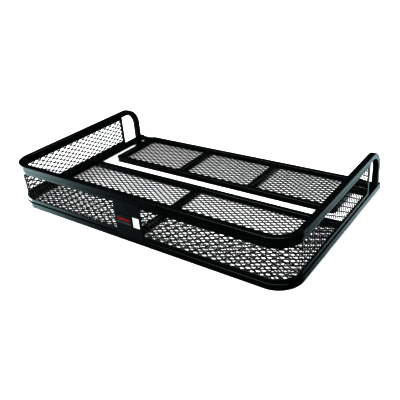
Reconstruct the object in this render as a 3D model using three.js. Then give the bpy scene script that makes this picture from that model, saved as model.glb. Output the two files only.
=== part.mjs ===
// Steel mesh cargo carrier: a welded basket of square tube with an expanded metal floor and walls.
// Millimetres, +Z up, X across the long side, -Y the front. The origin is under the middle of the base.
import * as THREE from 'three';

// Driving dimensions
const width = 1220;
const depth = 768;
const height = 182;
const tube = 22.2;
const tubeEdge = 2.2;
const planBend = 76.2;
const hoopBend = 76.2;
const deckCorner = 20;
const capThick = 3;
const capRecess = 0.5;
const strip = { high: 16, thick: 3 };
const endBarWide = 16;
const mesh = { thick: 3, lift: 0.5 };
const joint = 0.3;
const bendSteps = 8;

// Places along Y
const hoopStart = -290;
const crossRear = 44.5;
const deckFront = 110;
const linkFront = 289;
const legCentre = 348;
const wallEnd = 258;

// Places across X
const deckHalf = 533;
const deckBarCentre = 172;

// Front plate and what is stuck on it: left edges along X, bottom edges along Z
const plate = { wide: 122, thick: 2, recess: 1.5 };
const badge = { wide: 72, high: 26, thick: 1.2, left: -56, bottom: 76 };
const badgeStrip = { wide: 67, high: 4, thick: 0.8, left: -56, bottom: 69.5 };
const label = { wide: 29, high: 40, thick: 0.5, left: 22, bottom: 65 };
const stickerGap = 0.2;

// Derived sizes
const halfWidth = width / 2;
const halfDepth = depth / 2;
const railInner = halfWidth - tube;
const deckRear = halfDepth;
const deckSideInner = deckHalf - tube;
const cornerOuter = planBend + tube / 2;
const wallBottom = tube + joint;
const wallTop = height - tube - joint;
const plateBack = plate.recess + plate.thick;
const stripInset = plateBack + joint + strip.thick / 2;
const meshInset = plateBack + strip.thick + 2 * joint + mesh.thick / 2;

const finishes = {
  coat: { color: 0x0b0c0d, roughness: 0.35, metalness: 0.3 },
  meshCoat: { color: 0x0d0e0f, roughness: 0.45, metalness: 0.3 },
  plug: { color: 0x101112, roughness: 0.6, metalness: 0 },
  badgeRed: { color: 0xa81420, roughness: 0.35, metalness: 0 },
  badgeGrey: { color: 0x9a9c98, roughness: 0.4, metalness: 0.2 },
  labelWhite: { color: 0xf2f2ef, roughness: 0.6, metalness: 0 },
};

const carrier = new THREE.Group();

function addPiece(name, geometry, finish = finishes.coat, position = [0, 0, 0]) {
  const piece = new THREE.Mesh(geometry, new THREE.MeshStandardMaterial(finish));
  piece.name = name;
  piece.position.set(...position);
  carrier.add(piece);
}

// A square or flat section with its long edges taken off
function section(sizeX, sizeY, edge) {
  const x = sizeX / 2;
  const y = sizeY / 2;
  const shape = new THREE.Shape();
  shape.moveTo(edge - x, -y);
  shape.lineTo(x - edge, -y);
  shape.lineTo(x, edge - y);
  shape.lineTo(x, y - edge);
  shape.lineTo(x - edge, y);
  shape.lineTo(edge - x, y);
  shape.lineTo(-x, y - edge);
  shape.lineTo(-x, edge - y);
  shape.closePath();
  return shape;
}

function rectangle(sizeX, sizeY) {
  const shape = new THREE.Shape();
  shape.moveTo(-sizeX / 2, -sizeY / 2);
  shape.lineTo(sizeX / 2, -sizeY / 2);
  shape.lineTo(sizeX / 2, sizeY / 2);
  shape.lineTo(-sizeX / 2, sizeY / 2);
  shape.closePath();
  return shape;
}

// The centre line of a bent bar: straight runs with a section at each end and at each step of a bend
class BentPath extends THREE.Curve {
  constructor(stations) {
    super();
    this.stations = stations;
  }

  get steps() {
    return this.stations.length - 1;
  }

  getPointAt(along) {
    return this.stations[Math.round(along * this.steps)].clone();
  }

  getTangentAt(along) {
    const at = Math.round(along * this.steps);
    const after = this.stations[Math.min(at + 1, this.steps)];
    const before = this.stations[Math.max(at - 1, 0)];
    return after.clone().sub(before).normalize();
  }
}

// Stations of a quarter bend about centre, turning from the direction of start to the direction of end
function quarterBend(centre, start, end, radius) {
  const stations = [];
  for (let step = 0; step <= bendSteps; step += 1) {
    const turn = (Math.PI / 2) * (step / bendSteps);
    const station = centre.clone();
    station.addScaledVector(start, radius * Math.cos(turn));
    station.addScaledVector(end, radius * Math.sin(turn));
    stations.push(station);
  }
  return stations;
}

function sweep(shape, path) {
  return new THREE.ExtrudeGeometry(shape, { extrudePath: path, steps: path.steps });
}

// The plan outline of the front, set in from the outer faces: left side, front and right side
function frontPath(inset, rearY, z) {
  const radius = cornerOuter - inset;
  const sideX = halfWidth - inset;
  const frontY = inset - halfDepth;
  const left = new THREE.Vector3(-1, 0, 0);
  const right = new THREE.Vector3(1, 0, 0);
  const front = new THREE.Vector3(0, -1, 0);
  const leftCentre = new THREE.Vector3(radius - sideX, frontY + radius, z);
  const rightCentre = new THREE.Vector3(sideX - radius, frontY + radius, z);
  return new BentPath([
    new THREE.Vector3(-sideX, rearY, z),
    ...quarterBend(leftCentre, left, front, radius),
    ...quarterBend(rightCentre, front, right, radius),
    new THREE.Vector3(sideX, rearY, z),
  ]);
}

// A straight square tube between two places, lying at the level of the underside
const tubeShape = section(tube, tube, tubeEdge);
function straightTube(name, from, to) {
  const path = new BentPath([
    new THREE.Vector3(...from, tube / 2),
    new THREE.Vector3(...to, tube / 2),
  ]);
  addPiece(name, sweep(tubeShape, path));
}

// Base rail, bent round the front
const railEnd = halfDepth - capThick - joint;
addPiece('base_rail', sweep(tubeShape, frontPath(tube / 2, railEnd, tube / 2)));

// Front floor frame
const crossMiddle = crossRear - tube / 2;
straightTube('floor_cross_tube', [joint - railInner, crossMiddle], [railInner - joint, crossMiddle]);
const floorFront = tube + joint - halfDepth;
const floorRear = crossRear - tube - joint;
straightTube('floor_centre_tube', [0, floorFront], [0, floorRear]);

// Deck frame: the front and rear tubes run full width with rounded outer corners
function deckEndTube(name, outerY, inward) {
  const shape = new THREE.Shape();
  const halfX = deckHalf - tubeEdge;
  const nearY = outerY + inward * tubeEdge;
  const farY = outerY + inward * (tube - tubeEdge);
  const bend = deckCorner - tubeEdge;
  shape.moveTo(-halfX, farY);
  shape.lineTo(-halfX, nearY + inward * bend);
  shape.quadraticCurveTo(-halfX, nearY, bend - halfX, nearY);
  shape.lineTo(halfX - bend, nearY);
  shape.quadraticCurveTo(halfX, nearY, halfX, nearY + inward * bend);
  shape.lineTo(halfX, farY);
  shape.closePath();
  const geometry = new THREE.ExtrudeGeometry(shape, {
    depth: tube - 2 * tubeEdge,
    bevelThickness: tubeEdge,
    bevelSize: tubeEdge,
    bevelSegments: 1,
    curveSegments: 4,
  });
  addPiece(name, geometry, finishes.coat, [0, 0, tubeEdge]);
}

deckEndTube('deck_front_tube', deckFront, 1);
deckEndTube('deck_rear_tube', deckRear, -1);

const deckInnerFront = deckFront + tube + joint;
const deckInnerRear = deckRear - tube - joint;
const rearLinkMiddle = deckRear - deckCorner / 2 - tube / 2;
for (const [side, sign] of [['left', -1], ['right', 1]]) {
  const sideX = sign * (deckHalf - tube / 2);
  const barX = sign * deckBarCentre;
  straightTube(`deck_side_tube_${side}`, [sideX, deckInnerFront], [sideX, deckInnerRear]);
  straightTube(`deck_bar_${side}`, [barX, deckInnerFront], [barX, deckInnerRear]);
  const linkInner = sign * (deckHalf + joint);
  const linkOuter = sign * (railInner - joint);
  for (const [end, middle] of [['front', linkFront + tube / 2], ['rear', rearLinkMiddle]]) {
    straightTube(`deck_link_${end}_${side}`, [linkInner, middle], [linkOuter, middle]);
  }
  const capSize = tube - 2 * capRecess;
  const cap = new THREE.BoxGeometry(capSize, capThick, capSize);
  const capPlace = [sign * (halfWidth - tube / 2), halfDepth - capThick / 2, tube / 2];
  addPiece(`rail_end_cap_${side}`, cap, finishes.plug, capPlace);
}

// Upper frame: a rim tube bent round the front, and a hoop at each side down to the rail
const rimZ = height - tube / 2;
addPiece('rim_front_tube', sweep(tubeShape, frontPath(tube / 2, hoopStart, rimZ)));

for (const [side, sign] of [['left', -1], ['right', 1]]) {
  const x = sign * (halfWidth - tube / 2);
  const centre = new THREE.Vector3(x, legCentre - hoopBend, rimZ - hoopBend);
  const up = new THREE.Vector3(0, 0, 1);
  const back = new THREE.Vector3(0, 1, 0);
  const path = new BentPath([
    new THREE.Vector3(x, hoopStart + joint, rimZ),
    ...quarterBend(centre, up, back, hoopBend),
    new THREE.Vector3(x, legCentre, tube + joint),
  ]);
  addPiece(`side_hoop_${side}`, sweep(tubeShape, path));
}

// Wall infill: flat strips outside the mesh along its upper and lower edges
const wallHigh = wallTop - wallBottom;
const stripShape = rectangle(strip.high, strip.thick);
const topStripZ = wallTop - strip.high / 2;
const bottomStripZ = wallBottom + strip.high / 2;
const wallJointY = hoopStart + joint;
const meshMiddle = (wallTop + wallBottom) / 2;
addPiece('front_top_strip', sweep(stripShape, frontPath(stripInset, hoopStart, topStripZ)));
addPiece('front_bottom_strip', sweep(stripShape, frontPath(stripInset, hoopStart, bottomStripZ)));
const frontMeshWide = 2 * (halfWidth - cornerOuter) - joint;
const frontMesh = new THREE.BoxGeometry(frontMeshWide, mesh.thick, wallHigh);
addPiece('front_wall_mesh', frontMesh, finishes.meshCoat, [0, meshInset - halfDepth, meshMiddle]);

// The mesh of each rounded corner, from the front to the side wall
const cornerShape = rectangle(wallHigh, mesh.thick);
const cornerMeshRadius = cornerOuter - meshInset;
for (const [side, sign] of [['left', -1], ['right', 1]]) {
  const centre = new THREE.Vector3(sign * (halfWidth - cornerOuter), cornerOuter - halfDepth, meshMiddle);
  const outward = new THREE.Vector3(sign, 0, 0);
  const front = new THREE.Vector3(0, -1, 0);
  const path = new BentPath([
    ...quarterBend(centre, front, outward, cornerMeshRadius),
    new THREE.Vector3(sign * (halfWidth - meshInset), hoopStart, meshMiddle),
  ]);
  addPiece(`corner_wall_mesh_${side}`, sweep(cornerShape, path), finishes.meshCoat);
}

const endBarFront = wallEnd - endBarWide - joint;
for (const [side, sign] of [['left', -1], ['right', 1]]) {
  const stripX = sign * (halfWidth - stripInset);
  const meshX = sign * (halfWidth - meshInset);
  const runY = endBarFront - wallJointY;
  const middleY = (endBarFront + wallJointY) / 2;
  const stripBox = new THREE.BoxGeometry(strip.thick, runY, strip.high);
  addPiece(`side_top_strip_${side}`, stripBox, finishes.coat, [stripX, middleY, topStripZ]);
  addPiece(`side_bottom_strip_${side}`, stripBox, finishes.coat, [stripX, middleY, bottomStripZ]);
  const meshBox = new THREE.BoxGeometry(mesh.thick, wallEnd - wallJointY, wallHigh);
  const meshPlace = [meshX, (wallEnd + wallJointY) / 2, meshMiddle];
  addPiece(`side_wall_mesh_${side}`, meshBox, finishes.meshCoat, meshPlace);
  const endBar = new THREE.BoxGeometry(strip.thick, endBarWide, wallHigh);
  const endBarPlace = [stripX, wallEnd - endBarWide / 2, meshMiddle];
  addPiece(`wall_end_bar_${side}`, endBar, finishes.coat, endBarPlace);
}

// Floor mesh: each panel fills one window of the frame at the level of the underside
function floorPanel(name, fromX, toX, fromY, toY) {
  const panel = new THREE.BoxGeometry(toX - fromX, toY - fromY, mesh.thick);
  const place = [(fromX + toX) / 2, (fromY + toY) / 2, mesh.lift + mesh.thick / 2];
  addPiece(name, panel, finishes.meshCoat, place);
}

// Half the width that a lengthways tube takes out of a panel
const barHalf = tube / 2 + joint;

// The two front floor panels follow the rounded inner corners of the rail
function frontFloorPanel(name, sign) {
  const innerX = sign * barHalf;
  const outerX = sign * (railInner - joint);
  const bend = planBend - tube / 2 - joint;
  const shape = new THREE.Shape();
  shape.moveTo(innerX, floorRear);
  shape.lineTo(innerX, floorFront);
  for (let step = 0; step <= bendSteps; step += 1) {
    const turn = (Math.PI / 2) * (step / bendSteps);
    shape.lineTo(outerX - sign * bend * (1 - Math.sin(turn)), floorFront + bend * (1 - Math.cos(turn)));
  }
  shape.lineTo(outerX, floorRear);
  shape.closePath();
  const geometry = new THREE.ExtrudeGeometry(shape, { depth: mesh.thick, bevelEnabled: false });
  addPiece(name, geometry, finishes.meshCoat, [0, 0, mesh.lift]);
}

frontFloorPanel('floor_mesh_left', -1);
frontFloorPanel('floor_mesh_right', 1);

const deckPanelEnds = [
  ['left', joint - deckSideInner, -deckBarCentre - barHalf],
  ['centre', barHalf - deckBarCentre, deckBarCentre - barHalf],
  ['right', deckBarCentre + barHalf, deckSideInner - joint],
];
for (const [side, fromX, toX] of deckPanelEnds) {
  floorPanel(`deck_mesh_${side}`, fromX, toX, deckInnerFront, deckInnerRear);
}

// Front plate with its badge, strip and label stuck on its outer face
const plateFace = plate.recess - halfDepth;
const plateBox = new THREE.BoxGeometry(plate.wide, plate.thick, wallHigh);
addPiece('name_plate', plateBox, finishes.coat, [0, plateFace + plate.thick / 2, meshMiddle]);

function sticker(name, size, finish) {
  const box = new THREE.BoxGeometry(size.wide, size.thick, size.high);
  const y = plateFace - stickerGap - size.thick / 2;
  addPiece(name, box, finish, [size.left + size.wide / 2, y, size.bottom + size.high / 2]);
}

sticker('badge', badge, finishes.badgeRed);
sticker('badge_strip', badgeStrip, finishes.badgeGrey);
sticker('label', label, finishes.labelWhite);

export default carrier;
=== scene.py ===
import math

import bmesh
import bpy
from mathutils import Matrix, Vector


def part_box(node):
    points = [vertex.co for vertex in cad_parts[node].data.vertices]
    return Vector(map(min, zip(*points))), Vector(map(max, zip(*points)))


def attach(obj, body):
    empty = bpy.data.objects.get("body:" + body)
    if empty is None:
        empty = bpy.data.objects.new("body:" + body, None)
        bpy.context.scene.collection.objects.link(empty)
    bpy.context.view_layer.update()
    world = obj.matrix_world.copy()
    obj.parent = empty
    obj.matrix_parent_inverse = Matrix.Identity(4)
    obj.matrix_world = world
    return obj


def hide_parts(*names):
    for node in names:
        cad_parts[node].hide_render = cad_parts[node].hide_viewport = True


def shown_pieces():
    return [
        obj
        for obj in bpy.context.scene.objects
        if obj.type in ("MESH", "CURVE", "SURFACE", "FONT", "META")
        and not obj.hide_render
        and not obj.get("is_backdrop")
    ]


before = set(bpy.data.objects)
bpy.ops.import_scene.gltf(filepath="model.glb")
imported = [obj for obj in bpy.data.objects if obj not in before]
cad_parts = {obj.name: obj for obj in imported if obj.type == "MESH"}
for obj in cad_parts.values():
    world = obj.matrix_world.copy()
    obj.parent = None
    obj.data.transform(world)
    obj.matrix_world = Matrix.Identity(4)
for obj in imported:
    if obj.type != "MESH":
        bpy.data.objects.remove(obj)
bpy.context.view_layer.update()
scene = bpy.context.scene
print("frame loaded with", len(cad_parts), "nodes")

# main sizes: all but the last two come from the frame
railLow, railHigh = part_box("base_rail")
rimLow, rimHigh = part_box("rim_front_tube")
tube = railHigh.z - railLow.z
halfTube = tube / 2
halfWide = railHigh.x
frontY = railLow.y
cornerOuter = 0.0873  # outside radius of the front corners seen from above
gap = 0.0003  # what the frame leaves between welded pieces

# lengths in metres and angles in degrees, with lens and sensor in millimetres
shot = {
    "place": (1.134, -1.4575, 0.9747),
    "turn": 37.34,
    "down": 28.38,
    "roll": -4.88,
    "lens": 47.15,
    "sensor": 36,
    "farthest": 100,
    "contrast": 0.6,
}
cameraData = bpy.data.cameras.new("shotCamera")
cameraData.lens = shot["lens"]
cameraData.sensor_width = shot["sensor"]
cameraData.clip_end = shot["farthest"]
camera = bpy.data.objects.new("shotCamera", cameraData)
scene.collection.objects.link(camera)
camera.matrix_world = (
    Matrix.Translation(shot["place"])
    @ Matrix.Rotation(math.radians(shot["turn"]), 4, "Z")
    @ Matrix.Rotation(math.radians(90 - shot["down"]), 4, "X")
    @ Matrix.Rotation(math.radians(shot["roll"]), 4, "Z")
)
scene.camera = camera
scene.view_settings.view_transform = "Standard"
scene.view_settings.gamma = shot["contrast"]


def newMaterial(name):
    material = bpy.data.materials.new(name)
    material.use_nodes = True
    nodes = material.node_tree.nodes
    return material, nodes, material.node_tree.links, nodes["Principled BSDF"]


studio = {
    "floorSize": 60,
    "floorLevel": -0.0005,
    "floorTone": 0.92,
    "grainScale": 3,
    "grainDepth": 0.01,
    "roughness": 0.9,
    "specular": 0.1,
    "worldTone": (0.036, 0.047, 0.049),
    "backdropTone": (1.0, 1.0, 1.0),
}
floorMaterial, nodes, links, shader = newMaterial("studioFloor")
grain = nodes.new("ShaderNodeTexNoise")
grain.inputs["Scale"].default_value = studio["grainScale"]
tone = nodes.new("ShaderNodeMapRange")
tone.inputs["To Min"].default_value = studio["floorTone"] - studio["grainDepth"]
tone.inputs["To Max"].default_value = studio["floorTone"] + studio["grainDepth"]
floorPlace = nodes.new("ShaderNodeTexCoord")
links.new(floorPlace.outputs["Object"], grain.inputs["Vector"])
links.new(grain.outputs["Fac"], tone.inputs["Value"])
links.new(tone.outputs["Result"], shader.inputs["Base Color"])
shader.inputs["Roughness"].default_value = studio["roughness"]
shader.inputs["Specular IOR Level"].default_value = studio["specular"]
floorMesh = bpy.data.meshes.new("studioFloor")
reach = studio["floorSize"] / 2
floorCorners = [
    (x * reach, y * reach, studio["floorLevel"])
    for x, y in ((-1, -1), (1, -1), (1, 1), (-1, 1))
]
floorMesh.from_pydata(floorCorners, [], [(0, 1, 2, 3)])
floorMesh.materials.append(floorMaterial)
studioFloor = bpy.data.objects.new("studioFloor", floorMesh)
scene.collection.objects.link(studioFloor)
studioFloor.visible_glossy = False  # the paint mirrors the dark studio and not the floor
studioFloor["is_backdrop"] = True

# the studio is dark with a few soft glows: where each lies, how near it fades in, and its light
glows = [
    {"toward": (-0.97, -0.15, -0.20), "edge": 0.830, "full": 0.980, "light": (11.0, 14.1, 14.6)},
    {"toward": (0.31, 0.88, -0.33), "edge": 0.930, "full": 1.000, "light": (1.8, 2.25, 2.3)},
    {"toward": (-0.40, -0.56, 0.73), "edge": 0.985, "full": 0.998, "light": (8.0, 9.1, 9.4)},
    {"toward": (0.62, 0.62, 0.48), "edge": 0.965, "full": 0.990, "light": (2.6, 3.0, 3.1)},
]
world = bpy.data.worlds.new("studioWorld")
scene.world = world
world.use_nodes = True
worldNodes, worldLinks = world.node_tree.nodes, world.node_tree.links
direction = worldNodes.new("ShaderNodeTexCoord").outputs["Generated"]
backgroundNode = worldNodes["Background"]
total = None
for glow in glows:
    facing = worldNodes.new("ShaderNodeVectorMath")
    facing.operation = "DOT_PRODUCT"
    facing.inputs[1].default_value = Vector(glow["toward"]).normalized()
    worldLinks.new(direction, facing.inputs[0])
    fade = worldNodes.new("ShaderNodeMapRange")
    fade.interpolation_type = "SMOOTHSTEP"
    fade.inputs["From Min"].default_value = glow["edge"]
    fade.inputs["From Max"].default_value = glow["full"]
    worldLinks.new(facing.outputs["Value"], fade.inputs["Value"])
    tint = worldNodes.new("ShaderNodeVectorMath")
    tint.operation = "MULTIPLY_ADD"
    tint.inputs[1].default_value = glow["light"]
    worldLinks.new(fade.outputs["Result"], tint.inputs[0])
    if total:
        worldLinks.new(total, tint.inputs[2])
    else:
        tint.inputs[2].default_value = studio["worldTone"]
    total = tint.outputs["Vector"]
# the camera itself meets a plain white backdrop past the floor's edge
seen = worldNodes.new("ShaderNodeMix")
seen.data_type = "RGBA"
darkInput, plainInput = [socket for socket in seen.inputs if socket.type == "RGBA"]
plainInput.default_value = (*studio["backdropTone"], 1)
lightPath = worldNodes.new("ShaderNodeLightPath")
worldLinks.new(lightPath.outputs["Is Camera Ray"], seen.inputs["Factor"])
worldLinks.new(total, darkInput)
seenColour = next(socket for socket in seen.outputs if socket.type == "RGBA")
worldLinks.new(seenColour, backgroundNode.inputs["Color"])

overhead = {"strength": 7.4, "spread": 62, "aim": (0.10, 0.24, -1)}
sunData = bpy.data.lights.new("overheadLight", "SUN")
sunData.energy = overhead["strength"]
sunData.angle = math.radians(overhead["spread"])
sun = bpy.data.objects.new("overheadLight", sunData)
scene.collection.objects.link(sun)
sun.rotation_euler = Vector(overhead["aim"]).to_track_quat("-Z", "Y").to_euler()
print("camera and light ready")

coat = {"patchDetail": 3, "darkTo": 0.3, "lightFrom": 0.75, "peelDetail": 2, "peelHeight": 0.0002}


def powderCoat(name, look):
    # fine orange peel over slow changes of tone and gloss
    material, nodes, links, shader = newMaterial(name)
    place = nodes.new("ShaderNodeTexCoord")
    slow = nodes.new("ShaderNodeTexNoise")
    slow.inputs["Scale"].default_value = look["patchScale"]
    slow.inputs["Detail"].default_value = coat["patchDetail"]
    colour = nodes.new("ShaderNodeValToRGB")
    colour.color_ramp.elements[0].position = coat["darkTo"]
    colour.color_ramp.elements[0].color = (*look["dark"], 1)
    colour.color_ramp.elements[1].position = coat["lightFrom"]
    colour.color_ramp.elements[1].color = (*look["light"], 1)
    gloss = nodes.new("ShaderNodeMapRange")
    gloss.inputs["To Min"].default_value = look["gloss"][0]
    gloss.inputs["To Max"].default_value = look["gloss"][1]
    peel = nodes.new("ShaderNodeTexNoise")
    peel.inputs["Scale"].default_value = look["peelScale"]
    peel.inputs["Detail"].default_value = coat["peelDetail"]
    bump = nodes.new("ShaderNodeBump")
    bump.inputs["Strength"].default_value = look["peelDepth"]
    bump.inputs["Distance"].default_value = coat["peelHeight"]
    links.new(place.outputs["Object"], slow.inputs["Vector"])
    links.new(place.outputs["Object"], peel.inputs["Vector"])
    links.new(slow.outputs["Fac"], colour.inputs["Fac"])
    links.new(slow.outputs["Fac"], gloss.inputs["Value"])
    links.new(colour.outputs["Color"], shader.inputs["Base Color"])
    links.new(gloss.outputs["Result"], shader.inputs["Roughness"])
    links.new(peel.outputs["Fac"], bump.inputs["Height"])
    links.new(bump.outputs["Normal"], shader.inputs["Normal"])
    shader.inputs["Specular IOR Level"].default_value = look["specular"]
    return material


tubeCoat = powderCoat("tubePowderCoat", {
    "dark": (0.0020, 0.0028, 0.0030), "light": (0.0040, 0.0056, 0.0060), "patchScale": 7,
    "gloss": (0.18, 0.26), "peelScale": 700, "peelDepth": 0.10, "specular": 0.40,
})
stripCoat = powderCoat("stripPowderCoat", {
    "dark": (0.0022, 0.0034, 0.0036), "light": (0.0045, 0.0064, 0.0068), "patchScale": 9,
    "gloss": (0.20, 0.30), "peelScale": 800, "peelDepth": 0.10, "specular": 0.40,
})
meshCoat = powderCoat("meshPowderCoat", {
    "dark": (0.0020, 0.0026, 0.0028), "light": (0.0040, 0.0050, 0.0054), "patchScale": 18,
    "gloss": (0.28, 0.40), "peelScale": 900, "peelDepth": 0.15, "specular": 0.32,
})
weldCoat = powderCoat("weldPowderCoat", {
    "dark": (0.0010, 0.0015, 0.0016), "light": (0.0026, 0.0034, 0.0036), "patchScale": 60,
    "gloss": (0.18, 0.30), "peelScale": 1100, "peelDepth": 0.3, "specular": 0.30,
})
plugPlastic = powderCoat("plugPlastic", {
    "dark": (0.006, 0.006, 0.0065), "light": (0.010, 0.010, 0.0105), "patchScale": 40,
    "gloss": (0.50, 0.62), "peelScale": 1500, "peelDepth": 0.35, "specular": 0.35,
})
blackVinyl = powderCoat("blackVinyl", {
    "dark": (0.0016, 0.0020, 0.0022), "light": (0.0030, 0.0036, 0.0038), "patchScale": 30,
    "gloss": (0.30, 0.40), "peelScale": 1200, "peelDepth": 0.06, "specular": 0.3,
})
redVinyl = powderCoat("redVinyl", {
    "dark": (0.20, 0.003, 0.005), "light": (0.28, 0.006, 0.008), "patchScale": 30,
    "gloss": (0.28, 0.38), "peelScale": 1200, "peelDepth": 0.06, "specular": 0.2,
})
greyVinyl = powderCoat("greyVinyl", {
    "dark": (0.07, 0.075, 0.07), "light": (0.11, 0.115, 0.11), "patchScale": 30,
    "gloss": (0.35, 0.45), "peelScale": 1200, "peelDepth": 0.06, "specular": 0.5,
})
paperWhite = powderCoat("labelPaper", {
    "dark": (0.55, 0.55, 0.54), "light": (0.70, 0.70, 0.69), "patchScale": 90,
    "gloss": (0.50, 0.65), "peelScale": 2500, "peelDepth": 0.2, "specular": 0.4,
})
print("finishes ready")

edgeFinish = {"segments": 3, "sharpAngle": 40, "normalWeight": 100, "mergeWithin": 1e-6}


def finishPiece(piece, slot, *nodeNames):
    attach(piece, "root")
    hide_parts(*nodeNames)
    return piece


def makePiece(name, shape, material, bevel=0):
    bmesh.ops.remove_doubles(shape, verts=shape.verts, dist=edgeFinish["mergeWithin"])
    bmesh.ops.recalc_face_normals(shape, faces=shape.faces)
    mesh = bpy.data.meshes.new(name)
    shape.to_mesh(mesh)
    shape.free()
    mesh.materials.append(material)
    mesh.shade_smooth()
    piece = bpy.data.objects.new(name, mesh)
    scene.collection.objects.link(piece)
    if bevel:
        edge = piece.modifiers.new("softEdge", "BEVEL")
        edge.width = bevel
        edge.segments = edgeFinish["segments"]
        edge.limit_method = "ANGLE"
        edge.angle_limit = math.radians(edgeFinish["sharpAngle"])
    flat = piece.modifiers.new("flatFaces", "WEIGHTED_NORMAL")
    flat.weight = edgeFinish["normalWeight"]
    return piece


def roundedSection(wide, high, radius, steps=4):
    points = []
    for quarter, (x, y) in enumerate([(1, 1), (-1, 1), (-1, -1), (1, -1)]):
        for step in range(steps + 1):
            turn = math.pi / 2 * (quarter + step / steps)
            points.append((
                x * (wide / 2 - radius) + radius * math.cos(turn),
                y * (high / 2 - radius) + radius * math.sin(turn),
            ))
    return points


def sweptBar(name, stations, section, material):
    # each station is a place with the two directions that its section lies in
    shape = bmesh.new()
    rings = []
    for place, side, up in stations:
        rings.append([shape.verts.new(place + a * side + b * up) for a, b in section])
    count = len(section)
    for ring, after in zip(rings, rings[1:]):
        for i in range(count):
            j = (i + 1) % count
            shape.faces.new((ring[i], ring[j], after[j], after[i]))
    shape.faces.new(rings[0])
    shape.faces.new(rings[-1])
    return makePiece(name, shape, material)


def outlinePoint(run, inset, sideEnd):
    # a place on the wall line and its outward direction, run from the left side's rear end
    radius = cornerOuter - inset
    sideX = halfWide - inset
    straight = sideEnd - frontY - cornerOuter
    bend = radius * math.pi / 2
    across = 2 * (halfWide - cornerOuter)
    centreX = halfWide - cornerOuter
    centreY = frontY + cornerOuter
    if run <= straight:
        return Vector((-sideX, sideEnd - run, 0)), Vector((-1, 0, 0))
    run -= straight
    if run <= bend:
        turn = run / radius
        out = Vector((-math.cos(turn), -math.sin(turn), 0))
        return Vector((-centreX, centreY, 0)) + radius * out, out
    run -= bend
    if run <= across:
        return Vector((run - centreX, frontY + inset, 0)), Vector((0, -1, 0))
    run -= across
    if run <= bend:
        turn = run / radius
        out = Vector((math.sin(turn), -math.cos(turn), 0))
        return Vector((centreX, centreY, 0)) + radius * out, out
    run -= bend
    return Vector((sideX, centreY + run, 0)), Vector((1, 0, 0))


def outlineLength(inset, sideEnd):
    bend = (cornerOuter - inset) * math.pi / 2
    return 2 * (sideEnd - frontY - cornerOuter) + 2 * bend + 2 * (halfWide - cornerOuter)


def outlineStations(inset, sideEnd, z, bendSteps=20):
    straight = sideEnd - frontY - cornerOuter
    bend = (cornerOuter - inset) * math.pi / 2
    across = 2 * (halfWide - cornerOuter)
    runs = [0]
    runs += [straight + bend * step / bendSteps for step in range(bendSteps + 1)]
    runs += [straight + bend + across + bend * step / bendSteps for step in range(bendSteps + 1)]
    runs += [outlineLength(inset, sideEnd)]
    up = Vector((0, 0, 1))
    stations = []
    for run in runs:
        place, out = outlinePoint(run, inset, sideEnd)
        stations.append((place + z * up, out, up))
    return stations


tubeShape = {
    "corner": 0.0026,
    "hoopBend": 0.0762,
    "bendSteps": 20,
    "deckCorner": 0.020,
    "deckCornerSteps": 6,
}
tubeSection = roundedSection(tube, tube, tubeShape["corner"])

baseRail = sweptBar(
    "baseRailTube", outlineStations(halfTube, railHigh.y, halfTube), tubeSection, tubeCoat)
finishPiece(baseRail, "tube_coat", "base_rail")
rimMiddle = rimHigh.z - halfTube
rimTube = sweptBar(
    "rimFrontTube", outlineStations(halfTube, rimHigh.y, rimMiddle), tubeSection, tubeCoat)
finishPiece(rimTube, "tube_coat", "rim_front_tube")


def hoopStations(x, low, high):
    bend = tubeShape["hoopBend"]
    legY = high.y - halfTube
    across = Vector((1, 0, 0))
    stations = [(Vector((x, low.y - gap / 2, rimMiddle)), Vector((0, 0, 1)), across)]
    for step in range(tubeShape["bendSteps"] + 1):
        turn = math.pi / 2 * step / tubeShape["bendSteps"]
        out = Vector((0, math.sin(turn), math.cos(turn)))
        stations.append((Vector((x, legY - bend, rimMiddle - bend)) + bend * out, out, across))
    stations.append((Vector((x, legY, tube)), Vector((0, 1, 0)), across))
    return stations


for side, sign in (("left", -1), ("right", 1)):
    node = f"side_hoop_{side}"
    stations = hoopStations(sign * (halfWide - halfTube), *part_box(node))
    hoop = sweptBar(f"{side}SideHoop", stations, tubeSection, tubeCoat)
    finishPiece(hoop, "tube_coat", node)


def straightTube(name, node):
    low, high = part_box(node)
    middle = (low + high) / 2
    alongX = high.x - low.x > high.y - low.y
    along = Vector((1, 0, 0)) if alongX else Vector((0, 1, 0))
    side = Vector((0, 1, 0)) if alongX else Vector((1, 0, 0))
    half = (high - low).dot(along) / 2 + gap
    stations = [(middle + end * half * along, side, Vector((0, 0, 1))) for end in (-1, 1)]
    return finishPiece(sweptBar(name, stations, tubeSection, tubeCoat), "tube_coat", node)


straightTube("floorCrossTube", "floor_cross_tube")
straightTube("floorCentreTube", "floor_centre_tube")
for side in ("left", "right"):
    straightTube(f"{side}DeckSideTube", f"deck_side_tube_{side}")
    straightTube(f"{side}DeckBar", f"deck_bar_{side}")
    straightTube(f"{side}DeckLinkFront", f"deck_link_front_{side}")
    straightTube(f"{side}DeckLinkRear", f"deck_link_rear_{side}")


def slab(name, outline, low, high, axis, material, bevel):
    # an outline pushed along Z, or along Y for what faces the front or the rear
    shape = bmesh.new()
    ends = []
    for level in (low, high):
        if axis == "Z":
            ends.append([shape.verts.new((a, b, level)) for a, b in outline])
        else:
            ends.append([shape.verts.new((a, level, b)) for a, b in outline])
    count = len(outline)
    for i in range(count):
        j = (i + 1) % count
        shape.faces.new((ends[0][i], ends[0][j], ends[1][j], ends[1][i]))
    shape.faces.new(ends[0])
    shape.faces.new(ends[1])
    return makePiece(name, shape, material, bevel)


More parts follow.
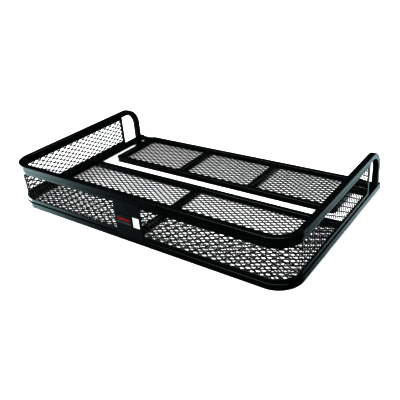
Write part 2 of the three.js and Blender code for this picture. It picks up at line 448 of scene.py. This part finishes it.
for end, outward in (("front", -1), ("rear", 1)):
    node = f"deck_{end}_tube"
    low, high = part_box(node)
    corner = tubeShape["deckCorner"]
    steps = tubeShape["deckCornerSteps"]
    outerY = high.y if outward > 0 else low.y
    innerY = low.y if outward > 0 else high.y
    outline = [(low.x, innerY), (high.x, innerY)]
    for sign in (1, -1):
        for step in range(steps + 1):
            turn = math.pi / 2 * (step if sign > 0 else steps - step) / steps
            outline.append((
                sign * (high.x - corner + corner * math.cos(turn)),
                outerY - outward * corner * (1 - math.sin(turn)),
            ))
    name = f"deck{end.title()}Tube"
    deckTube = slab(name, outline, low.z, high.z, "Z", tubeCoat, tubeShape["corner"])
    finishPiece(deckTube, "tube_coat", node)

plugShape = {"corner": 0.0024, "bevel": 0.0014}
for side in ("left", "right"):
    node = f"rail_end_cap_{side}"
    low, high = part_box(node)
    middle = (low + high) / 2
    outline = [
        (middle.x + a, middle.z + b)
        for a, b in roundedSection(high.x - low.x, high.z - low.z, plugShape["corner"])
    ]
    name = f"{side}RailPlug"
    plug = slab(name, outline, low.y - gap, high.y, "Y", plugPlastic, plugShape["bevel"])
    finishPiece(plug, "end_plug", node)
print("tubes ready")

stripShape = {"corner": 0.0014, "cornerSteps": 3}
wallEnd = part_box("wall_end_bar_left")[1].y
for level in ("top", "bottom"):
    low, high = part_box(f"front_{level}_strip")
    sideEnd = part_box(f"side_{level}_strip_left")[1].y
    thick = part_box(f"side_{level}_strip_right")
    inset = halfWide - (thick[0].x + thick[1].x) / 2
    section = roundedSection(
        thick[1].x - thick[0].x, high.z - low.z, stripShape["corner"], stripShape["cornerSteps"])
    stations = outlineStations(inset, sideEnd, (low.z + high.z) / 2)
    wallStrip = sweptBar(f"{level}WallStrip", stations, section, stripCoat)
    finishPiece(
        wallStrip, "strip_coat",
        f"front_{level}_strip", f"side_{level}_strip_left", f"side_{level}_strip_right")

for side in ("left", "right"):
    node = f"wall_end_bar_{side}"
    low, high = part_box(node)
    outline = [(low.x, low.y), (high.x, low.y), (high.x, high.y), (low.x, high.y)]
    endBar = slab(f"{side}WallEndBar", outline, low.z, high.z, "Z", stripCoat, stripShape["corner"])
    finishPiece(endBar, "strip_coat", node)

panelShape = {
    "name_plate": {"corner": 0.003, "bevel": 0.0006},
    "badge": {"corner": 0.003, "bevel": 0.0002},
    "badge_strip": {"corner": 0.001, "bevel": 0.0002},
    "label": {"corner": 0.0015, "bevel": 0.0001},
}


def frontPanel(name, node, material, slot):
    panel = panelShape[node]
    low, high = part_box(node)
    middle = (low + high) / 2
    outline = [
        (middle.x + a, middle.z + b)
        for a, b in roundedSection(high.x - low.x, high.z - low.z, panel["corner"])
    ]
    piece = slab(name, outline, low.y, high.y, "Y", material, panel["bevel"])
    return finishPiece(piece, slot, node)


frontPanel("frontPlate", "name_plate", stripCoat, "strip_coat")
plateBadge = frontPanel("plateBadge", "badge", blackVinyl, "badge_red")

# a plain red bar printed across the badge, a hair proud of it and joined to its mesh
badgeBar = {
    "wide": 0.056,
    "high": 0.0095,
    "drop": 0.0035,
    "corner": 0.0012,
    "proud": 0.00008,
    "deep": 0.0004,
}
low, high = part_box("badge")
middle = (low + high) / 2
outline = [
    (middle.x + a, middle.z - badgeBar["drop"] + b)
    for a, b in roundedSection(badgeBar["wide"], badgeBar["high"], badgeBar["corner"])
]
bar = slab(
    "badgeBar", outline, low.y - badgeBar["proud"], low.y + badgeBar["deep"], "Y", redVinyl, 0)
printed = bmesh.new()
printed.from_mesh(plateBadge.data)
plainFaces = len(printed.faces)
printed.from_mesh(bar.data)
printed.faces.ensure_lookup_table()
for face in printed.faces[plainFaces:]:
    face.material_index = 1
printed.to_mesh(plateBadge.data)
printed.free()
plateBadge.data.materials.append(redVinyl)
bpy.data.objects.remove(bar)
frontPanel("plateBadgeStrip", "badge_strip", greyVinyl, "badge_grey")
frontPanel("plateLabel", "label", paperWhite, "label_white")
print("strips and plate ready")

# sizes in metres, with the lean of the strands in degrees
expanded = {
    "longWay": 0.035,
    "shortWay": 0.020,
    "floorStrand": 0.0031,
    "wallStrand": 0.0038,
    "strandThick": 0.0017,
    "lean": 34,
    "stationsPerCell": 8,
    "bondShare": 0.25,
    "sheetCorner": 0.0005,
    "floorLevel": 0.0032,
    "wallInset": 0.0095,
    "wallEndMargin": 0.001,
    "tuck": 0.010,
    "tuckUnderStrip": 0.006,
}


class TreeMaker:
    def __init__(self, name):
        self.tree = bpy.data.node_groups.new(name, "GeometryNodeTree")
        self.names = {}
        self.source = self.tree.nodes.new("NodeGroupInput")
        self.tree.interface.new_socket("Geometry", in_out="OUTPUT", socket_type="NodeSocketGeometry")

    def input(self, label, kind):
        item = self.tree.interface.new_socket(label, in_out="INPUT", socket_type=f"NodeSocket{kind}")
        self.names[label] = item.identifier
        return self.source.outputs[label]

    def put(self, target, value):
        if isinstance(value, bpy.types.NodeSocket):
            self.tree.links.new(value, target)
        else:
            target.default_value = value

    def node(self, kind, settings=None, **values):
        made = self.tree.nodes.new(kind)
        for key, value in (settings or {}).items():
            setattr(made, key, value)
        for key, value in values.items():
            self.put(made.inputs[key.replace("_", " ")], value)
        return made

    def math(self, operation, first, second=0.0):
        made = self.tree.nodes.new("ShaderNodeMath")
        made.operation = operation
        self.put(made.inputs[0], first)
        self.put(made.inputs[1], second)
        return made.outputs[0]

    def vector(self, operation, first, second=(0, 0, 0)):
        made = self.tree.nodes.new("ShaderNodeVectorMath")
        made.operation = operation
        self.put(made.inputs[0], first)
        self.put(made.inputs[1], second)
        return made.outputs["Value" if operation == "LENGTH" else "Vector"]

    def combine(self, x=0.0, y=0.0, z=0.0):
        return self.node("ShaderNodeCombineXYZ", X=x, Y=y, Z=z).outputs["Vector"]

    def finish(self, geometry, material):
        painted = self.node("GeometryNodeSetMaterial", Geometry=geometry, Material=material)
        result = self.tree.nodes.new("NodeGroupOutput")
        self.tree.links.new(painted.outputs["Geometry"], result.inputs["Geometry"])

    def grow(self, name, values, base=None):
        holder = bpy.data.objects.new(f"{name}Holder", base or bpy.data.meshes.new(f"{name}Holder"))
        scene.collection.objects.link(holder)
        modifier = holder.modifiers.new("pattern", "NODES")
        modifier.node_group = self.tree
        for label, value in values.items():
            modifier[self.names[label]] = value
        graph = bpy.context.evaluated_depsgraph_get()
        mesh = bpy.data.meshes.new_from_object(holder.evaluated_get(graph))
        mesh.name = name
        bpy.data.objects.remove(holder)
        piece = bpy.data.objects.new(name, mesh)
        scene.collection.objects.link(piece)
        return piece


def expandedMetalTree():
    # rows of zigzag strands, each touching the next at its bonds, cut to a panel's outline
    make = TreeMaker("expandedMetal")
    longWay = make.input("Long Way", "Float")
    shortWay = make.input("Short Way", "Float")
    strandWidth = make.input("Strand Width", "Float")
    strandThick = make.input("Strand Thickness", "Float")
    lean = make.input("Lean", "Float")
    columns = make.input("Columns", "Int")
    rows = make.input("Rows", "Int")
    start = make.input("Start", "Vector")
    panelLow = make.input("Panel Low", "Vector")
    panelHigh = make.input("Panel High", "Vector")
    roundLow = make.input("Round Low", "Vector")
    roundHigh = make.input("Round High", "Vector")
    roundRadius = make.input("Round Radius", "Float")
    material = make.input("Material", "Material")
    index = make.node("GeometryNodeInputIndex").outputs["Index"]

    perCell = expanded["stationsPerCell"]
    step = make.math("DIVIDE", longWay, float(perCell))
    count = make.math("ADD", make.math("MULTIPLY", columns, float(perCell)), 1.0)
    line = make.node("GeometryNodeMeshLine", Count=count, Offset=make.combine(x=step))
    phase = make.math("MODULO", index, float(perCell))
    fromTop = make.math("ABSOLUTE", make.math("SUBTRACT", phase, perCell / 2))
    rise = make.math("SUBTRACT", 1.0, make.math("DIVIDE", fromTop, perCell / 2))
    zig = make.node(
        "ShaderNodeMapRange", {"interpolation_type": "SMOOTHSTEP"},
        Value=rise, From_Min=expanded["bondShare"], From_Max=1 - expanded["bondShare"],
    ).outputs["Result"]
    bond = make.math("MULTIPLY", strandWidth, make.math("COSINE", lean))
    climb = make.math("SUBTRACT", make.math("DIVIDE", shortWay, 2.0), bond)
    drop = make.math("MULTIPLY", make.math("MULTIPLY", strandWidth, make.math("SINE", lean)), -1.0)
    zigzag = make.combine(y=make.math("MULTIPLY", zig, climb), z=make.math("MULTIPLY", zig, drop))
    strand = make.node("GeometryNodeSetPosition", Geometry=line.outputs["Mesh"], Offset=zigzag)

    rowLine = make.node(
        "GeometryNodeMeshLine", Count=rows, Offset=make.combine(y=make.math("DIVIDE", shortWay, 2.0)))
    oddRow = make.math("MODULO", index, 2.0)
    shift = make.math("MULTIPLY", oddRow, make.math("DIVIDE", longWay, 2.0))
    rowPoints = make.node(
        "GeometryNodeSetPosition", Geometry=rowLine.outputs["Mesh"], Offset=make.combine(x=shift))
    spread = make.node(
        "GeometryNodeInstanceOnPoints", Points=rowPoints.outputs["Geometry"],
        Instance=strand.outputs["Geometry"])
    real = make.node("GeometryNodeRealizeInstances", Geometry=spread.outputs["Instances"])
    placed = make.node("GeometryNodeSetPosition", Geometry=real.outputs["Geometry"], Offset=start)

    position = make.node("GeometryNodeInputPosition").outputs["Position"]

    def outside(low, high, radius):
        half = make.vector("MULTIPLY", make.vector("SUBTRACT", high, low), (0.5, 0.5, 0))
        middle = make.vector("MULTIPLY", make.vector("ADD", high, low), (0.5, 0.5, 0))
        flat = make.vector("MULTIPLY", make.vector("SUBTRACT", position, middle), (1, 1, 0))
        inner = make.vector("SUBTRACT", half, make.combine(x=radius, y=radius))
        over = make.vector("SUBTRACT", make.vector("ABSOLUTE", flat), inner)
        past = make.vector("LENGTH", make.vector("MULTIPLY", make.vector("MAXIMUM", over), (1, 1, 0)))
        return make.math("GREATER_THAN", past, radius)

    pastSheet = outside(panelLow, panelHigh, expanded["sheetCorner"])
    pastRound = outside(roundLow, roundHigh, roundRadius)
    cut = make.math("MAXIMUM", pastSheet, pastRound)
    trimmed = make.node(
        "GeometryNodeDeleteGeometry", Geometry=placed.outputs["Geometry"], Selection=cut)
    curve = make.node("GeometryNodeMeshToCurve", Mesh=trimmed.outputs["Geometry"])
    upright = make.node("GeometryNodeSetCurveNormal", Curve=curve.outputs["Curve"])
    upright.mode = "Z_UP"
    leaning = make.node("GeometryNodeSetCurveTilt", Curve=upright.outputs["Curve"], Tilt=lean)
    section = make.node(
        "GeometryNodeCurvePrimitiveQuadrilateral", Width=strandWidth, Height=strandThick)
    solid = make.node(
        "GeometryNodeCurveToMesh", Curve=leaning.outputs["Curve"],
        Profile_Curve=section.outputs["Curve"], Fill_Caps=True)
    whole = make.node("GeometryNodeRealizeInstances", Geometry=solid.outputs["Mesh"])
    make.finish(whole.outputs["Geometry"], material)
    return make


expandedTree = expandedMetalTree()


def expandedSheet(name, strandWidth, low, high, roundLow, roundHigh, roundRadius):
    # a flat sheet in plan; its strands start a cell outside so that both edges are covered
    longWay, shortWay = expanded["longWay"], expanded["shortWay"]
    columns = math.ceil((high[0] - low[0]) / longWay) + 2
    rows = math.ceil((high[1] - low[1]) / shortWay * 2) + 3
    startX = (low[0] + high[0] - columns * longWay) / 2 - longWay / 4
    startY = (low[1] + high[1] - rows * shortWay / 2) / 2
    return expandedTree.grow(name, {
        "Long Way": longWay, "Short Way": shortWay,
        "Strand Width": strandWidth, "Strand Thickness": expanded["strandThick"],
        "Lean": math.radians(expanded["lean"]), "Columns": columns, "Rows": rows,
        "Start": (startX, startY, 0.0), "Panel Low": (*low, 0.0), "Panel High": (*high, 0.0),
        "Round Low": (*roundLow, 0.0), "Round High": (*roundHigh, 0.0),
        "Round Radius": roundRadius,
        "Material": meshCoat,
    })


def tidySheet(piece):
    shape = bmesh.new()
    shape.from_mesh(piece.data)
    bmesh.ops.recalc_face_normals(shape, faces=shape.faces)
    shape.to_mesh(piece.data)
    shape.free()
    piece.data.shade_flat()


# the rails' centre line with its round front corners, left open far behind the rear
centreLine = halfWide - halfTube
farRear = 1.0
railRound = ((-centreLine, frontY + halfTube), (centreLine, farRear), cornerOuter - halfTube)


def strandRise(strandWidth):
    return strandWidth * math.sin(math.radians(expanded["lean"]))


def flatPanel(name, node, roundCorner):
    low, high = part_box(node)
    tuck = expanded["tuck"]
    strand = expanded["floorStrand"]
    piece = expandedSheet(
        name, strand, (low.x - tuck, low.y - tuck), (high.x + tuck, high.y + tuck), *roundCorner)
    level = expanded["floorLevel"] + strandRise(strand) / 2
    piece.data.transform(Matrix.Translation((0, 0, level)))
    tidySheet(piece)
    return finishPiece(piece, "mesh_coat", node)


# a limit far outside every sheet, for those that no round corner cuts
noRound = ((-10.0, -10.0), (10.0, 10.0), 0.001)
for side in ("left", "right"):
    flatPanel(f"{side}FloorMesh", f"floor_mesh_{side}", railRound)
for side in ("left", "centre", "right"):
    flatPanel(f"{side}DeckMesh", f"deck_mesh_{side}", noRound)

# the wall sheet is made flat and then wrapped round the two front corners
wallLow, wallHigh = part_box("front_wall_mesh")
wallInset = expanded["wallInset"]
wallRun = outlineLength(wallInset, wallEnd)
tuck = expanded["tuckUnderStrip"]
wallLift = strandRise(expanded["wallStrand"]) / 2
wallMargin = expanded["wallEndMargin"]
wallMesh = expandedSheet(
    "wallMesh", expanded["wallStrand"], (wallMargin, wallLow.z - tuck),
    (wallRun - wallMargin, wallHigh.z + tuck), *noRound)
for vertex in wallMesh.data.vertices:
    run, height, lift = vertex.co
    place, out = outlinePoint(run, wallInset, wallEnd)
    vertex.co = place + (lift + wallLift) * out + Vector((0, 0, height))
tidySheet(wallMesh)
finishPiece(
    wallMesh, "mesh_coat", "front_wall_mesh", "corner_wall_mesh_left", "corner_wall_mesh_right",
    "side_wall_mesh_left", "side_wall_mesh_right")
meshFaces = sum(len(piece.data.polygons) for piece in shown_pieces() if "Mesh" in piece.name)
print("expanded metal ready with", meshFaces, "faces")

weld = {
    "bead": 0.0019,
    "pitch": 0.0021,
    "squash": 0.55,
    "smallest": 0.82,
    "largest": 1.12,
    "seed": 7,
    "stand": 0.0004,
    "foot": 1.4,
    "edge": 0.002,
    "hoopDrop": 0.003,
}


def weldTree():
    make = TreeMaker("weldBead")
    seams = make.input("Seams", "Geometry")
    bead = make.input("Bead Radius", "Float")
    pitch = make.input("Pitch", "Float")
    squash = make.input("Squash", "Float")
    seed = make.input("Seed", "Int")
    material = make.input("Material", "Material")
    curve = make.node("GeometryNodeMeshToCurve", Mesh=seams)
    even = make.node(
        "GeometryNodeCurveToPoints", {"mode": "LENGTH"}, Curve=curve.outputs["Curve"], Length=pitch)
    ball = make.node("GeometryNodeMeshIcoSphere", Radius=bead, Subdivisions=2)
    flat = make.node(
        "GeometryNodeTransform", Geometry=ball.outputs["Mesh"], Scale=make.combine(1.0, 1.0, squash))
    size = make.node("FunctionNodeRandomValue", {"data_type": "FLOAT"})
    size.inputs[2].default_value = weld["smallest"]
    size.inputs[3].default_value = weld["largest"]
    make.put(size.inputs["Seed"], seed)
    spread = make.node(
        "GeometryNodeInstanceOnPoints",
        Points=even.outputs["Points"], Instance=flat.outputs["Geometry"],
        Rotation=even.outputs["Rotation"], Scale=size.outputs[1])
    real = make.node("GeometryNodeRealizeInstances", Geometry=spread.outputs["Instances"])
    make.finish(real.outputs["Geometry"], material)
    return make


beadTree = weldTree()


def weldSeams(name, seams):
    points, edges = [], []
    for seam in seams:
        first = len(points)
        points += [tuple(point) for point in seam]
        edges += [(first + i, first + i + 1) for i in range(len(seam) - 1)]
    path = bpy.data.meshes.new(f"{name}Path")
    path.from_pydata(points, edges, [])
    piece = beadTree.grow(name, {
        "Bead Radius": weld["bead"], "Pitch": weld["pitch"], "Squash": weld["squash"],
        "Seed": weld["seed"], "Material": weldCoat,
    }, path)
    piece.data.shade_smooth()
    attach(piece, "root")
    return piece


def tubeEndSeam(node, end):
    # up one side of a lying tube, over its top and down the other, at one of its ends
    low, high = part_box(node)
    alongX = high.x - low.x > high.y - low.y
    at = (low if end < 0 else high).x if alongX else (low if end < 0 else high).y
    near, far = (low.y, high.y) if alongX else (low.x, high.x)
    stand, edge = weld["stand"], weld["edge"]
    foot = low.z + weld["bead"] * weld["foot"]
    corners = [
        (near - stand, foot), (near - stand, high.z - edge),
        (near + edge, high.z), (far - edge, high.z),
        (far + stand, high.z - edge), (far + stand, foot),
    ]
    return [(at, c, z) if alongX else (c, at, z) for c, z in corners]


floorSeams = []
for node in ("floor_cross_tube", "floor_centre_tube"):
    floorSeams += [tubeEndSeam(node, -1), tubeEndSeam(node, 1)]
weldSeams("floorWelds", floorSeams)
deckSeams = []
for side in ("left", "right"):
    for kind in ("side_tube", "bar", "link_front", "link_rear"):
        node = f"deck_{kind}_{side}"
        deckSeams += [tubeEndSeam(node, -1), tubeEndSeam(node, 1)]
weldSeams("deckWelds", deckSeams)

hoopSeams = []
for side, sign in (("left", -1), ("right", 1)):
    low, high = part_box(f"side_hoop_{side}")
    inner = sign * (halfWide - tube)
    outer = sign * (halfWide - weld["bead"])
    legFront = high.y - tube
    hoopSeams.append([
        (outer, legFront, tube), (inner, legFront, tube),
        (inner, high.y, tube), (outer, high.y, tube)])
    hoopSeams.append([
        (inner, low.y, rimHigh.z - weld["hoopDrop"]), (inner, low.y, rimHigh.z - tube),
        (outer, low.y, rimHigh.z - tube)])
weldSeams("hoopWelds", hoopSeams)

# a painted-over seam weld runs along the underside of the rim tube
rimSeam = {"wide": 0.0026, "corner": 0.001274, "cornerSteps": 3, "inset": 0.0017, "drop": 0.0002}
seamLevel = (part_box("front_top_strip")[1].z + rimHigh.z - tube) / 2 - rimSeam["drop"]
rimSeamWeld = sweptBar(
    "rimSeamWeld", outlineStations(rimSeam["inset"], wallEnd, seamLevel),
    roundedSection(rimSeam["wide"], rimSeam["wide"], rimSeam["corner"], rimSeam["cornerSteps"]),
    stripCoat)
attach(rimSeamWeld, "root")

# short stitches hold the strips to the tubes above and below them, and the plate to both
stitch = {"long": 0.012, "spacing": 0.150, "first": 0.060, "inset": 0.0030, "intoPlate": 0.0008}
stitchSeams = []
for level in (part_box("front_top_strip")[1].z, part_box("front_bottom_strip")[0].z):
    run = stitch["first"]
    while run < outlineLength(stitch["inset"], wallEnd) - stitch["first"]:
        seam = []
        for share in (0, 0.5, 1):
            place, _ = outlinePoint(run + share * stitch["long"], stitch["inset"], wallEnd)
            seam.append((place.x, place.y, level))
        stitchSeams.append(seam)
        run += stitch["spacing"]
plateLow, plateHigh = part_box("name_plate")
plateY = plateLow.y + stitch["intoPlate"]
for level in (plateLow.z, plateHigh.z):
    for x in (plateLow.x, plateHigh.x - stitch["long"]):
        stitchSeams.append([(x, plateY, level), (x + stitch["long"], plateY, level)])
weldSeams("stripWelds", stitchSeams)
print("welds ready")
